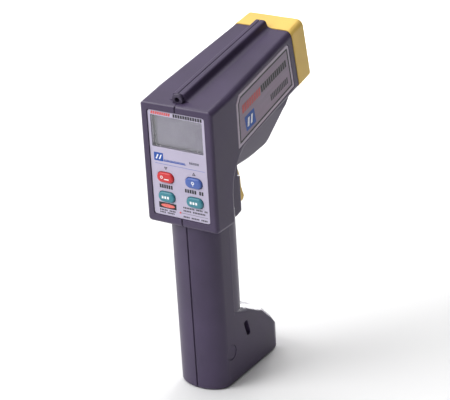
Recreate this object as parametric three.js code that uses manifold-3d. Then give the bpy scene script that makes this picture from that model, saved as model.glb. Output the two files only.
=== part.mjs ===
// Infrared thermometer: a pistol-shaped hand-held instrument that stands on its foot.
// Millimetres. +Z up along the grip, +Y forward towards the lens, +X to the user's right.
import * as THREE from 'three';
import { mergeVertices } from 'three/addons/utils/BufferGeometryUtils.js';
import Module from 'manifold-3d';

const wasm = await Module();
wasm.setup();

// ---- overall sizes -------------------------------------------------------
const rearWidth = 50;
const frontWidth = 41.4;
const headTop = 186.5;
const podHeight = 76.5;
const headBottom = headTop - podHeight;
const podDepth = 20;
const barrelTilt = THREE.MathUtils.degToRad(10.93);
const barrelHeight = 38.4;
const barrelLength = 97.6;
const taperStart = 20;
const edgeRadius = 2.2;
const headCorner = 2.6;
const roofEdge = 4;
const throatSweep = 26;
const wall = 2.2;
const rearWall = 3.6;
const seamGap = 0.3;
const fitGap = 0.3;
const pinGap = 0.15;
const originY = 58.5;

// ---- yellow nose ---------------------------------------------------------
const noseLength = 15;
const noseCorner = 3;
const noseEdge = 1.6;
const noseProud = 0.4;
const noseSkirt = 4;
const spigotReach = 6;
const spigotWall = 1.3;

// ---- grip and foot -------------------------------------------------------
const gripHalf = 17;
const gripRear = 4;
const gripSideStart = 15;
const gripStep = 24;
const gripStepDepth = 0.9;
const gripFront = 42;
const gripSquareness = 2.5;
const gripFacets = 17;
const footFront = 74.8;
const footFrontHalf = 15.6;
const footCorner = 6;
const footEdge = 2;
const footShoulder = 6;
const footTopHigh = 50;
const footNoseHigh = 16;
const footBrowBack = 7;
const footBrowHigh = 25.4;
const footRampY = 39;
const footRampZ = 44.6;
const footArchY = 57;
const footArchZ = 36.2;
const footSweep = 9;
const floorLift = 0.3;
const grooveWidth = 1;
const grooveDepth = 0.7;

// ---- keel and trigger housing --------------------------------------------
const keelBottom = headTop - 53.5;
const keelBendY = barrelLength - 43.6;
const keelBendRadius = 20;
const keelKinkY = barrelLength - 18.6;
const keelKinkZ = keelBottom + 4.4;
const keelNoseY = barrelLength - 7.6;
const keelNoseZ = keelBottom + 24;
const keelBottomHalf = 9;
const keelTopHalf = 17.5;
const keelTopZ = keelBottom + 26;
const keelEdge = 3;
const housingHalf = 12;
const housingFront = gripFront + 4.3;
const housingBottom = keelBottom - 29.6;
const housingTop = keelBottom + 9;
const housingChin = 5.4;
const housingChinHigh = 1.6;
const housingNotch = 2;
const housingShelf = keelBottom - 4.6;
const housingCorner = 1.6;
const housingEdge = 1.4;

// ---- display face --------------------------------------------------------
const recessDepth = 1.5;
const panelHalf = rearWidth / 2 - 5.2;
const panelBottom = headBottom + 5.8;
const panelTop = headTop - 4.8;
const panelBack = 1.2;
const panelFront = 0.6;
const panelCorner = 1.6;
const windowHalf = panelHalf - 1.75;
const windowTop = panelTop - 3;
const windowBottom = windowTop - 19.7;
const windowCorner = 0.8;
const windowFit = 0.35;
const windowFront = 0.9;
const windowThick = 1.5;
const glassFront = 3.9;
const glassThick = 2;
const glassMargin = 0.6;
const frameFront = 6.2;
const frameThick = 3;
const frameMargin = 1.6;
const buttonX = rearWidth / 5;
const buttonUpperZ = windowBottom - 18.7;
const buttonLowerZ = buttonUpperZ - 12.4;
const buttonWide = 11.6;
const buttonTall = 6.4;
const buttonProud = 0.9;
const buttonFlange = 1;
const buttonEdge = 0.6;
const flangeFront = 4;
const flangeBack = 5.2;
const switchHalf = 3;
const switchFront = 7;
const plungerHalf = 1.2;
const plungerFront = 6.3;
const buzzerX = 12;
const buzzerZ = windowBottom - 7;
const buzzerRadius = 5.5;
const buzzerThick = 4.7;
const boardFront = 9.5;
const boardThick = 1.6;
const boardHalf = rearWidth / 2 - wall - 1.8;
const boardBottom = headBottom + 3;
const boardTop = headTop - 5.5;

// ---- optics --------------------------------------------------------------
const noseInner = wall + fitGap + spigotWall;
const lensRadius = 10.8;
const lensLip = 1;
const lensDome = 1.3;
const tubeWall = 1.4;
const tubeRadius = lensRadius + 1.2;
const tubeLength = 45.2;
const lensUp = noseInner + fitGap + tubeRadius - barrelHeight;
const plateRear = barrelLength + 7.9;
const plateThick = 2.4;
const plateInset = wall + 2.4;
const tubeRear = plateRear - fitGap - tubeLength;
const tubeEndThick = 2;
const retainerThick = 1.5;
const detectorRadius = 4.6;
const detectorRim = 5.6;
const laserRadius = 2.4;
const laserLength = 18.3;
const laserUp = -noseInner - 0.7 - laserRadius;
const laserHole = 1.6;
const sightUp = 2;
const sightRadius = 2.9;
const sightCollar = 3.7;
const sightCollarThick = 2.2;
const sightBore = 1.7;
const sightSink = 0.6;
const ridgeHeight = 5.2;
const ridgeTopHalf = 3.6;
const ridgeBaseHalf = 7.5;
const ridgeRear = 6;

// ---- trigger -------------------------------------------------------------
const triggerHalf = 5.4;
const triggerPivotY = housingFront - 5.3;
const triggerPivotZ = keelBottom - 3;
const triggerPinRadius = 1.4;
const pivotBossRadius = 3;
const triggerSlot = 0.6;
const springY = triggerPivotY - 8;
const springBottom = triggerPivotZ + 1.6;
const springTop = springBottom + 7.4;
const springRadius = 2.4;
const springWire = 0.35;
const springSeat = 2.2;

// The trigger seen from the side: [ahead of its pivot, above it, corner radius].
const triggerProfile = [
  [-2.8, -4, 0],
  [3.5, -9, 3],
  [5.8, -19.6, 4],
  [11, -23.6, 1],
  [16.4, -23.6, 1.6],
  [18.2, -21, 1.2],
  [15.4, -13.8, 9],
  [15, -7, 9],
  [12.8, -1.4, 2],
  [5, 2.4, 2],
  [-19.5, 1, 0],
  [-19.5, -1.4, 0],
  [-9, -3, 0],
];

// ---- battery bay ---------------------------------------------------------
const batteryHalf = 8.7;
const batteryRear = 10;
const batteryDeep = 26.3;
const batteryBottom = 54.5;
const batteryTall = 48.5;
const batteryCorner = 1.6;
const batteryTop = batteryBottom + batteryTall;
const snapThick = 3.3;
const shelfThick = 2.4;
const wireHalfSpacing = 3;
const wireRadius = 0.7;
const wireLanding = 3;
const doorHalf = 10;
const doorBottom = batteryBottom - 2.5;
const doorTop = batteryTop - 2;
const doorReach = 5.4;
const doorPinY = gripFront - 1.8;
const doorPinZ = doorBottom - 2;
const doorPinRadius = 0.9;
const doorPinHalf = 8.7;
const doorKnuckle = 1.7;
const doorTabHalf = 7.3;
const thumbHalf = 5;
const thumbTall = 2;

// ---- fasteners and fittings ----------------------------------------------
const screwHeadRadius = 2.6;
const screwHeadThick = 1.85;
const screwShankRadius = 1.3;
const screwHeadSink = 3;
const screwTipShort = 4;
const driveDepth = 0.8;
const driveReach = 1.7;
const driveHalf = 0.35;
const bossRadius = 4;
const insertRadius = 5.2;
const insertBore = 3.1;
const insertTall = 8.5;
const insertRaise = 0.4;
const insertWall = 2.3;
const insertY = 40;
const plugY = 18.9;
const plugZ = 21.9;
const plugRadius = 4.6;
const plugDepth = 1.5;
const plugSink = 0.25;
const slotY = 37.4;
const slotZ = 30.4;
const slotWide = 4.4;
const slotTall = 11;
const slotLean = 1.8;
const slotCorner = 1.6;
const slotWall = 1.8;
const labelRearLow = 20.6;
const labelRearHigh = 25.8;
const labelFront = barrelLength - 5.3;
const labelCutLong = 4.6;
const labelCutTall = 4.2;
const labelFrontCut = 1.8;
const labelTopMargin = 5.4;
const labelLowMargin = 1.6;
const labelLowRise = 2;
const labelRecess = 0.9;
const labelThick = 0.45;
const labelSink = 0.15;

const group = new THREE.Group();

// ---- shape helpers -------------------------------------------------------
const tiltCos = Math.cos(barrelTilt);
const tiltSin = Math.sin(barrelTilt);

// A point in the side view, from its distance along the barrel and above its top line.
function barrel(along, up) {
  return [along * tiltCos - up * tiltSin, headTop + along * tiltSin + up * tiltCos];
}

// A closed outline whose corners [u, v, radius] are rounded with short arcs.
function rounded(corners, steps = 4) {
  const points = [];
  corners.forEach(([u, v, radius = 0], i) => {
    const corner = new THREE.Vector2(u, v);
    if (radius === 0) {
      points.push(corner);
      return;
    }
    const before = corners[(i + corners.length - 1) % corners.length];
    const after = corners[(i + 1) % corners.length];
    const back = new THREE.Vector2(before[0] - u, before[1] - v).normalize();
    const ahead = new THREE.Vector2(after[0] - u, after[1] - v).normalize();
    const half = Math.acos(THREE.MathUtils.clamp(back.dot(ahead), -1, 1)) / 2;
    const reach = radius / Math.tan(half);
    const start = corner.clone().addScaledVector(back, reach);
    const end = corner.clone().addScaledVector(ahead, reach);
    const middle = back.clone().add(ahead).normalize();
    const centre = corner.clone().addScaledVector(middle, radius / Math.sin(half));
    const from = start.clone().sub(centre);
    const to = end.clone().sub(centre);
    let sweep = to.angle() - from.angle();
    if (sweep > Math.PI) sweep -= 2 * Math.PI;
    if (sweep < -Math.PI) sweep += 2 * Math.PI;
    for (let k = 0; k <= steps; k += 1) {
      const spoke = from.clone().rotateAround(new THREE.Vector2(), (sweep * k) / steps);
      points.push(centre.clone().add(spoke));
    }
  });
  return points;
}

function rectangle(halfU, lowV, highV, radius) {
  return rounded([
    [-halfU, lowV, radius],
    [halfU, lowV, radius],
    [halfU, highV, radius],
    [-halfU, highV, radius],
  ]);
}

function circle(u, v, radius, sides = 24) {
  return Array.from({ length: sides }, (_, i) => {
    const turn = (i * 2 * Math.PI) / sides;
    return new THREE.Vector2(u + radius * Math.cos(turn), v + radius * Math.sin(turn));
  });
}

// Any closed geometry as a solid that can be joined and cut.
function solid(geometry) {
  geometry.deleteAttribute('normal');
  geometry.deleteAttribute('uv');
  const merged = mergeVertices(geometry, 1e-4);
  return new wasm.Manifold(new wasm.Mesh({
    numProp: 3,
    vertProperties: new Float32Array(merged.attributes.position.array),
    triVerts: new Uint32Array(merged.index.array),
  }));
}

// An outline drawn out by a depth, its end edges rounded by the bevel.
function extruded(points, depth, bevel = 0) {
  const shape = new THREE.Shape(points);
  const geometry = new THREE.ExtrudeGeometry(shape, {
    depth: depth - 2 * bevel,
    bevelEnabled: bevel > 0,
    bevelThickness: bevel,
    bevelSize: bevel,
    bevelOffset: -bevel,
    bevelSegments: 3,
    steps: 1,
  });
  geometry.translate(0, 0, bevel);
  return geometry;
}

function placed(geometry, u, v, w, origin) {
  const matrix = new THREE.Matrix4().makeBasis(u, v, w).setPosition(origin);
  geometry.applyMatrix4(matrix);
  return solid(geometry);
}

const axisX = new THREE.Vector3(1, 0, 0);
const axisY = new THREE.Vector3(0, 1, 0);
const axisZ = new THREE.Vector3(0, 0, 1);
const barrelAhead = new THREE.Vector3(0, tiltCos, tiltSin);
const barrelUp = new THREE.Vector3(0, -tiltSin, tiltCos);

// Side-view outline (y, z) drawn out along X.
function acrossX(points, lowX, highX, bevel = 0) {
  return placed(extruded(points, highX - lowX, bevel), axisY, axisZ, axisX, new THREE.Vector3(lowX, 0, 0));
}

// Rear-view outline (x, z) drawn out along Y.
function alongY(points, lowY, highY, bevel = 0) {
  const back = axisY.clone().negate();
  return placed(extruded(points, highY - lowY, bevel), axisX, axisZ, back, new THREE.Vector3(0, highY, 0));
}

// Plan outline (x, y) drawn out along Z.
function alongZ(points, lowZ, highZ, bevel = 0) {
  return placed(extruded(points, highZ - lowZ, bevel), axisX, axisY, axisZ, new THREE.Vector3(0, 0, lowZ));
}

// Outline (x, height above the barrel's top line) drawn out along the barrel.
function alongBarrel(points, low, high, bevel = 0) {
  const [y, z] = barrel(low, 0);
  const origin = new THREE.Vector3(0, y, z);
  return placed(extruded(points, high - low, bevel), axisX.clone().negate(), barrelUp, barrelAhead, origin);
}

// Outline (along, up) in the barrel's own side view, drawn out along X.
function barrelSide(points, lowX, highX) {
  const turned = points.map((p) => new THREE.Vector2(...barrel(p.x, p.y)));
  return acrossX(turned, lowX, highX);
}

function box(x0, x1, y0, y1, z0, z1) {
  const geometry = new THREE.BoxGeometry(x1 - x0, y1 - y0, z1 - z0);
  geometry.translate((x0 + x1) / 2, (y0 + y1) / 2, (z0 + z1) / 2);
  return solid(geometry);
}

const taperSlope = (1 - frontWidth / rearWidth) / (barrelLength - taperStart);

// How far a point lies beyond the start of the taper, measured along the barrel.
function beyondTaper(point) {
  const along = point.y * tiltCos + (point.z - headTop) * tiltSin - taperStart;
  return Math.abs(along) < 1e-5 ? 0 : along;
}

// Where an edge crosses the start of the taper, the same from either end.
function taperCrossing(p, q) {
  const forward = p.x < q.x || (p.x === q.x && (p.y < q.y || (p.y === q.y && p.z < q.z)));
  const [first, last] = forward ? [p, q] : [q, p];
  const a = beyondTaper(first);
  return first.clone().lerp(last, a / (a - beyondTaper(last)));
}

// The head narrows towards its front end: faces are parted at the taper's start, then drawn in.
function tapered(shape) {
  const data = shape.getMesh();
  const positions = [];
  const vertex = (k) => new THREE.Vector3().fromArray(data.vertProperties, 3 * data.triVerts[k]);
  for (let t = 0; t < data.triVerts.length; t += 3) {
    const corners = [vertex(t), vertex(t + 1), vertex(t + 2)];
    const reach = corners.map(beyondTaper);
    const sides = [];
    if (Math.max(...reach) > 0) sides.push(1);
    if (Math.min(...reach) < 0 || sides.length === 0) sides.push(-1);
    sides.forEach((side) => {
      const piece = [];
      corners.forEach((p, k) => {
        const q = corners[(k + 1) % 3];
        const here = side * reach[k];
        const next = side * reach[(k + 1) % 3];
        if (here >= 0) piece.push(p);
        if (here * next < 0) piece.push(taperCrossing(p, q));
      });
      for (let k = 1; k + 1 < piece.length; k += 1) {
        [piece[0], piece[k], piece[k + 1]].forEach((p) => {
          const draw = 1 - taperSlope * Math.max(0, beyondTaper(p));
          positions.push(p.x * draw, p.y, p.z);
        });
      }
    });
  }
  const geometry = new THREE.BufferGeometry();
  geometry.setAttribute('position', new THREE.Float32BufferAttribute(positions, 3));
  return solid(geometry);
}

function joined(pieces) {
  return pieces.reduce((sum, piece) => sum.add(piece));
}

// Every sub-part enters the assembly here, moved so that the origin is under its middle.
function add(name, shape, color, { rough = 0.6, metal = 0, opacity = 1 } = {}) {
  const data = shape.getMesh();
  const geometry = new THREE.BufferGeometry();
  geometry.setAttribute('position', new THREE.BufferAttribute(new Float32Array(data.vertProperties), 3));
  geometry.setIndex(new THREE.BufferAttribute(new Uint32Array(data.triVerts), 1));
  geometry.translate(0, -originY, 0);
  const flat = geometry.toNonIndexed();
  flat.computeVertexNormals();
  const material = new THREE.MeshStandardMaterial({
    color, roughness: rough, metalness: metal, opacity, transparent: opacity < 1,
  });
  const mesh = new THREE.Mesh(flat, material);
  mesh.name = name;
  group.add(mesh);
}

// ---- colours -------------------------------------------------------------
const bodyGrey = 0x574e63;
const yellow = 0xe8bd5c;
const black = 0x17171b;
const steel = 0xb4b6ba;
const brass = 0xb8974e;
const boardGreen = 0x1f6b42;

// ---- the housing ---------------------------------------------------------
// Side outline of the head; inset leaves the wall, overrun carries a cavity through the open front.
function headOutline(inset, rear, overrun) {
  const pod = podDepth - inset;
  const floor = barrelHeight - inset;
  const jointAlong = (pod - floor * tiltSin) / tiltCos;
  const topAlong = (rear - inset * tiltSin) / tiltCos;
  const corner = inset > 0 ? 0 : headCorner;
  const sweep = throatSweep + inset / 2;
  return rounded([
    [rear, headBottom + inset, corner],
    [pod, headBottom + inset, corner],
    [...barrel(jointAlong, -floor), sweep],
    [...barrel(barrelLength + overrun, -floor), 0],
    [...barrel(barrelLength + overrun, -inset), 0],
    [...barrel(topAlong, -inset), corner],
  ], 5);
}

function head(inset, rear, overrun) {
  const half = rearWidth / 2 - inset;
  const bevel = inset > 0 ? 0 : edgeRadius;
  const full = acrossX(headOutline(inset, rear, overrun + edgeRadius + 1), -half, half, bevel);
  const reach = 200;
  const past = alongBarrel(rectangle(reach, -reach, reach, 0), barrelLength + overrun, barrelLength + reach);
  if (inset > 0) return tapered(full.subtract(past));
  const roof = rounded([[-half, -reach, 0], [half, -reach, 0], [half, 0, roofEdge], [-half, 0, roofEdge]], 5);
  return tapered(full.intersect(alongBarrel(roof, -reach, reach)).subtract(past));
}

function keel(inset) {
  const half = keelBottomHalf - inset;
  const top = keelTopHalf - inset;
  const corner = inset > 0 ? keelEdge / 3 : keelEdge;
  const side = acrossX(rounded([
    [podDepth / 2, keelBottom + inset, 0],
    [keelBendY, keelBottom + inset, keelBendRadius],
    [keelKinkY, keelKinkZ + inset, 2 * keelEdge],
    [keelNoseY - inset, keelNoseZ + inset, keelEdge + 1],
    [...barrel(barrelLength - keelEdge - inset, wall / 2 - barrelHeight), 0],
    [podDepth / 2, headTop - barrelHeight, 0],
  ]), -keelTopHalf, keelTopHalf);
  const front = alongY(rounded([
    [-half, keelBottom + inset, corner],
    [half, keelBottom + inset, corner],
    [top, keelTopZ, 0],
    [top, headTop, 0],
    [-top, headTop, 0],
    [-top, keelTopZ, 0],
  ]), podDepth / 2, barrelLength + noseLength);
  return side.intersect(front);
}

// The block in front of the grip that the trigger comes out of.
function triggerHousing(inset) {
  const corner = inset > 0 ? 0 : housingCorner;
  const chin = 0.7 * inset;
  const outline = rounded([
    [podDepth / 2, housingBottom + inset, 0],
    [housingFront - housingChin - chin, housingBottom + inset, corner],
    [housingFront - inset, housingBottom + housingChinHigh + chin, corner],
    [housingFront - inset, housingShelf - inset, 0],
    [housingFront - housingNotch - inset, housingShelf + 1 - inset, 0],
    [housingFront - housingNotch - inset, housingTop, 0],
    [podDepth / 2, housingTop, 0],
  ], 2);
  return acrossX(outline, inset - housingHalf, housingHalf - inset, inset > 0 ? 0 : housingEdge);
}

// Plan outline of the grip: round at the back, and a slightly set-in, squarer front.
function gripOutline(inset) {
  const points = [];
  for (let i = 0; i <= gripFacets; i += 1) {
    const turn = Math.PI + (i * Math.PI) / gripFacets;
    points.push(new THREE.Vector2(
      (gripHalf - inset) * Math.cos(turn),
      gripSideStart + (gripSideStart - gripRear - inset) * Math.sin(turn),
    ));
  }
  const half = gripHalf - gripStepDepth - inset;
  points.push(new THREE.Vector2(gripHalf - inset, gripStep));
  for (let i = 0; i <= gripFacets; i += 1) {
    const turn = (i * Math.PI) / gripFacets;
    const c = Math.cos(turn);
    const s = Math.sin(turn);
    points.push(new THREE.Vector2(
      half * Math.sign(c) * Math.abs(c) ** (2 / gripSquareness),
      gripStep + (gripFront - gripStep - inset) * s ** (2 / gripSquareness),
    ));
  }
  points.push(new THREE.Vector2(inset - gripHalf, gripStep));
  return points;
}

function grip(inset) {
  const low = inset > 0 ? wall + floorLift : 0;
  return alongZ(gripOutline(inset), low, gripTop, inset > 0 ? 0 : footEdge);
}

function foot(inset) {
  const plan = [];
  for (let i = 0; i <= gripFacets; i += 1) {
    const turn = Math.PI + (i * Math.PI) / gripFacets;
    plan.push([
      (gripHalf - inset) * Math.cos(turn),
      gripSideStart + (gripSideStart - gripRear - inset) * Math.sin(turn),
      0,
    ]);
  }
  plan.push([gripHalf - inset, gripStep, 0]);
  plan.push([footFrontHalf - inset, footFront - inset, footCorner - inset]);
  plan.push([inset - footFrontHalf, footFront - inset, footCorner - inset]);
  plan.push([inset - gripHalf, gripStep, 0]);
  const low = inset > 0 ? wall + floorLift : 0;
  const below = -2 * footShoulder;
  const base = alongZ(rounded(plan, 3), low, footTopHigh + footEdge, inset > 0 ? 0 : footEdge);
  const side = rounded([
    [below, below, 0],
    [footFront - inset, below, 0],
    [footFront - inset, footNoseHigh - inset, footSweep],
    [footFront - footBrowBack - inset, footBrowHigh - inset, footSweep],
    [footArchY - inset, footArchZ - inset, footSweep],
    [footRampY - inset, footRampZ - inset, 0],
    [gripStep, footTopHigh - inset, 0],
    [below, footTopHigh - inset, 0],
  ], 3);
  const shoulder = inset > 0 ? footShoulder - wall : footShoulder;
  const half = gripHalf + seamGap - inset;
  return base.intersect(acrossX(side, -half, half, shoulder));
}

// The raised ridge on top of the barrel, which carries the sight tube.
function ridge() {
  const outline = rounded([
    [-ridgeBaseHalf, -1, 0],
    [ridgeBaseHalf, -1, 0],
    [ridgeBaseHalf, 0, 0],
    [ridgeTopHalf + 1, 1, 2],
    [ridgeTopHalf, ridgeHeight, 1.6],
    [-ridgeTopHalf, ridgeHeight, 1.6],
    [-ridgeTopHalf - 1, 1, 2],
    [-ridgeBaseHalf, 0, 0],
  ], 3);
  return alongBarrel(outline, ridgeRear, barrelLength);
}

// Outline (along, up) of the side label, with a cut upper rear corner.
function labelOutline(grow) {
  const part = grow * Math.tan(Math.PI / 8);
  const low = labelLowMargin - barrelHeight - grow;
  return [
    new THREE.Vector2(labelRearLow - grow, low),
    new THREE.Vector2(labelFront + grow, low + labelLowRise),
    new THREE.Vector2(labelFront + grow, part - labelTopMargin - labelFrontCut),
    new THREE.Vector2(labelFront - labelFrontCut + part, grow - labelTopMargin),
    new THREE.Vector2(labelRearHigh + labelCutLong - part, grow - labelTopMargin),
    new THREE.Vector2(labelRearHigh - grow, part - labelTopMargin - labelCutTall),
  ];
}

function pillOutline(x, z, wide, tall) {
  const corner = 0.49 * tall;
  return rounded([
    [x - wide / 2, z - tall / 2, corner],
    [x + wide / 2, z - tall / 2, corner],
    [x + wide / 2, z + tall / 2, corner],
    [x - wide / 2, z + tall / 2, corner],
  ], 5);
}

function buttonHole(x, z, low, high) {
  return alongY(pillOutline(x, z, buttonWide + 2 * fitGap, buttonTall + 2 * fitGap), low, high);
}

const buttons = [
  ['button_red', -buttonX, buttonUpperZ, 0xdd3b40],
  ['button_blue', buttonX, buttonUpperZ, 0x3d62b0],
  ['button_teal_left', -buttonX, buttonLowerZ, 0x3b8c8c],
  ['button_teal_right', buttonX, buttonLowerZ, 0x3b8c8c],
];

// Half the housing's width at a place along the barrel, at a height on the keel and along the foot.
const headHalf = (along) => (rearWidth / 2) * (1 - taperSlope * (along - taperStart));
const keelHalf = (z) => THREE.MathUtils.mapLinear(z, keelBottom, keelTopZ, keelBottomHalf, keelTopHalf);
const footHalf = (y) => THREE.MathUtils.mapLinear(y, gripStep, footFront, gripHalf, footFrontHalf);

// Case screws run across the seam: [y, z, half-width of the housing there].
const headScrewAlong = tubeRear - 16;
const keelScrewZ = keelBottom + 14.5;
// The trigger housing's screw clears the top of the grip, whose sides stand out past the housing.
const gripTop = headBottom + wall + fitGap;
const housingScrewZ = gripTop + bossRadius + 1;
const screws = [
  [...barrel(headScrewAlong, -8), headHalf(headScrewAlong)],
  [...barrel(headScrewAlong, 6.4 - barrelHeight), headHalf(headScrewAlong)],
  [keelKinkY - 13, keelScrewZ, keelHalf(keelScrewZ)],
  [gripStep + 6, housingScrewZ, housingHalf],
  [gripStep + 1, 44, gripHalf - gripStepDepth],
  [footFront - 10.8, 12, footHalf(footFront - 10.8)],
];

function bosses() {
  return joined(screws.map(([y, z, half]) => acrossX(circle(y, z, bossRadius, 16), -half, half)));
}

// The slanted strap slot through the foot, seen from the side.
function slotOutline(grow) {
  const low = slotZ - slotTall / 2 - grow;
  const high = slotZ + slotTall / 2 + grow;
  const half = slotWide / 2 + grow;
  const corner = slotCorner + grow;
  return rounded([
    [slotY + slotLean - half, low, corner],
    [slotY + slotLean + half, low, corner],
    [slotY - slotLean + half, high, corner],
    [slotY - slotLean - half, high, corner],
  ], 3);
}

// Walls that the two halves carry inside: boss posts, battery shelf, spring seat and strap eye.
function innerWalls() {
  const shelfTop = batteryBottom - 3 * fitGap;
  const shelf = box(-gripHalf, gripHalf, batteryRear - 2, gripFront - 4, shelfTop - shelfThick, shelfTop);
  const seatHalf = springRadius + 1.6;
  const [seatLow, seatHigh] = [springTop + fitGap, springTop + springSeat];
  const seat = box(-housingHalf, housingHalf, springY - seatHalf, springY + seatHalf, seatLow, seatHigh);
  const eye = acrossX(slotOutline(slotWall), -gripHalf, gripHalf);
  const insertOutline = circle(0, insertY, insertRadius + insertWall);
  const insertBoss = alongZ(insertOutline, wall / 2, insertTall + insertWall);
  const pivotOutline = circle(triggerPivotY, triggerPivotZ, pivotBossRadius, 16);
  const pivotInner = triggerHalf + 3 * fitGap;
  const pivots = [
    acrossX(pivotOutline, pivotInner, housingHalf),
    acrossX(pivotOutline, -housingHalf, -pivotInner),
  ];
  return joined([bosses(), shelf, seat, eye, insertBoss, ...pivots]);
}

// Openings in the display face: the recess, the window and the four key holes.
function displayCuts() {
  const deep = rearWall + 1;
  const recess = rectangle(panelHalf + fitGap, panelBottom - fitGap, panelTop + fitGap, panelCorner);
  const list = [
    alongY(recess, -deep, recessDepth),
    alongY(rectangle(windowHalf, windowBottom, windowTop, windowCorner), 0, deep),
  ];
  buttons.forEach(([, x, z]) => list.push(buttonHole(x, z, 0, deep)));
  return list;
}

// The trigger's slot and the bore for its pin.
function triggerCuts() {
  const half = triggerHalf + triggerSlot;
  const pinHalf = housingHalf - 1;
  const bore = circle(triggerPivotY, triggerPivotZ, triggerPinRadius + pinGap, 16);
  return [
    box(-half, half, triggerPivotY - 3, housingFront + 10, housingBottom - 1, triggerPivotZ + 3.4),
    acrossX(bore, -pinHalf, pinHalf),
  ];
}

// Room for the battery door, its hinge tab and its pin.
function doorCuts() {
  const half = doorHalf + fitGap;
  const tabHalf = doorTabHalf + fitGap;
  const past = gripFront + 8;
  const pinHalf = doorPinHalf + pinGap;
  return [
    box(-half, half, gripFront - 7, past, doorBottom - fitGap, doorTop + fitGap),
    box(-tabHalf, tabHalf, doorPinY - 3.2, past, doorPinZ - doorKnuckle - 0.7, doorBottom),
    acrossX(circle(doorPinY, doorPinZ, doorPinRadius + pinGap, 12), -pinHalf, pinHalf),
  ];
}

// A shallow pocket for the label on each side of the head.
function labelCuts() {
  const low = rearWidth / 2 - labelRecess;
  const high = rearWidth / 2 + 3;
  return [
    tapered(barrelSide(labelOutline(fitGap), low, high)),
    tapered(barrelSide(labelOutline(fitGap), -high, -low)),
  ];
}

// Holes for the screws: a clearance bore, and a wider one for the head on the left.
function screwCuts() {
  return screws.flatMap(([y, z, half]) => [
    acrossX(circle(y, z, screwShankRadius + fitGap, 12), -half, half - 3),
    acrossX(circle(y, z, screwHeadRadius + fitGap, 16), -rearWidth, screwHeadSink - half),
  ]);
}

// Everything that is cut right through the finished shell.
function cuts() {
  const sight = circle(0, sightUp, sightRadius + fitGap, 20);
  const collar = circle(0, sightUp, sightCollar + fitGap, 24);
  const groove = grooveWidth / 2;
  return joined([
    ...displayCuts(),
    ...triggerCuts(),
    ...doorCuts(),
    ...labelCuts(),
    ...screwCuts(),
    alongBarrel(sight, ridgeRear - 1, barrelLength + 1),
    alongBarrel(collar, ridgeRear - sightCollarThick - fitGap, ridgeRear),
    box(-groove, groove, 0, gripRear + grooveDepth, -1, headBottom + 1),
    box(-groove, groove, -1, grooveDepth, headBottom - 1, headTop + 1),
    acrossX(slotOutline(0), -gripHalf - 3, gripHalf + 3),
    alongZ(circle(0, insertY, insertRadius + fitGap), -1, insertTall + fitGap),
    acrossX(circle(plugY, plugZ, plugRadius + fitGap), gripHalf - plugDepth, gripHalf + 2),
  ]);
}

// One moulded half: side is -1 for the left and 1 for the right, with the seam between them.
function housingHalfShell(side) {
  const reach = 300;
  const near = seamGap / 2;
  const [low, high] = side > 0 ? [near, reach] : [-reach, -near];
  const space = box(low, high, -reach, reach, -reach, reach);
  const outer = joined([head(0, 0, 0), keel(0), triggerHousing(0), grip(0), foot(0), ridge()]);
  const hollow = [head(wall, rearWall, 3), keel(wall), triggerHousing(wall), grip(wall), foot(wall)];
  const cavity = joined(hollow);
  return outer.intersect(space).subtract(cavity.subtract(innerWalls())).subtract(cuts());
}

add('left_housing', housingHalfShell(-1), bodyGrey);
add('right_housing', housingHalfShell(1), bodyGrey);

// ---- nose, optics and aiming light ---------------------------------------
function noseFrame(low, high, inset) {
  const side = rearWidth / 2 - inset;
  const outline = rectangle(side, inset - barrelHeight, -inset, inset > 0 ? 1 : 2.2);
  return tapered(alongBarrel(outline, low, high));
}

function noseBumper() {
  const start = barrelLength + fitGap;
  const end = barrelLength + noseLength;
  const half = rearWidth / 2 + noseProud;
  const outline = rounded([
    [-half, -barrelHeight - noseProud, noseCorner],
    [half, -barrelHeight - noseProud, noseCorner],
    [half, noseProud, roofEdge + noseProud],
    [-half, noseProud, roofEdge + noseProud],
  ]);
  const past = alongBarrel(rectangle(rearWidth, -2 * barrelHeight, barrelHeight, 0), end, end + noseLength);
  const shell = tapered(alongBarrel(outline, start, end + noseEdge, noseEdge)).subtract(past);
  const squareEnd = tapered(alongBarrel(outline, start, start + noseSkirt));
  const spigot = noseFrame(barrelLength - spigotReach, start + 1, wall + fitGap);
  const bore = noseFrame(barrelLength - 2 * spigotReach, end + 5, noseInner);
  return joined([shell, squareEnd, spigot]).subtract(bore);
}

function roundAlong(up, radius, low, high, sides = 24) {
  return alongBarrel(circle(0, up, radius, sides), low, high);
}

function frontPlate() {
  const outline = rectangle(rearWidth / 2 - plateInset, plateInset - barrelHeight, -plateInset, 1);
  const front = plateRear + plateThick;
  return tapered(alongBarrel(outline, plateRear, front))
    .subtract(roundAlong(lensUp, lensRadius + fitGap, plateRear - 1, front + 1, 32))
    .subtract(roundAlong(laserUp, laserHole, plateRear - 1, front + 1, 16));
}

// A flat-rimmed lens whose middle domes forward through the retaining ring.
function lens() {
  const rim = plateRear + 0.4;
  const rimFront = plateRear + plateThick;
  const dome = circle(0, lensUp, lensRadius - lensLip - 0.5, 24);
  return roundAlong(lensUp, lensRadius, rim, rimFront, 32)
    .add(alongBarrel(dome, rim, rimFront + lensDome, lensDome / 2));
}

function lensRetainer() {
  const rear = plateRear + plateThick + fitGap;
  return roundAlong(lensUp, tubeRadius, rear, rear + retainerThick, 32)
    .subtract(roundAlong(lensUp, lensRadius - lensLip, rear - 1, rear + 2 * retainerThick, 32));
}

function opticsTube() {
  const bore = roundAlong(lensUp, tubeRadius - tubeWall, tubeRear + tubeEndThick, plateRear + 2, 32);
  const neck = roundAlong(lensUp, detectorRadius + fitGap, tubeRear - 1, tubeRear + tubeEndThick + 1);
  return roundAlong(lensUp, tubeRadius, tubeRear, plateRear - fitGap, 32).subtract(bore).subtract(neck);
}

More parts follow.
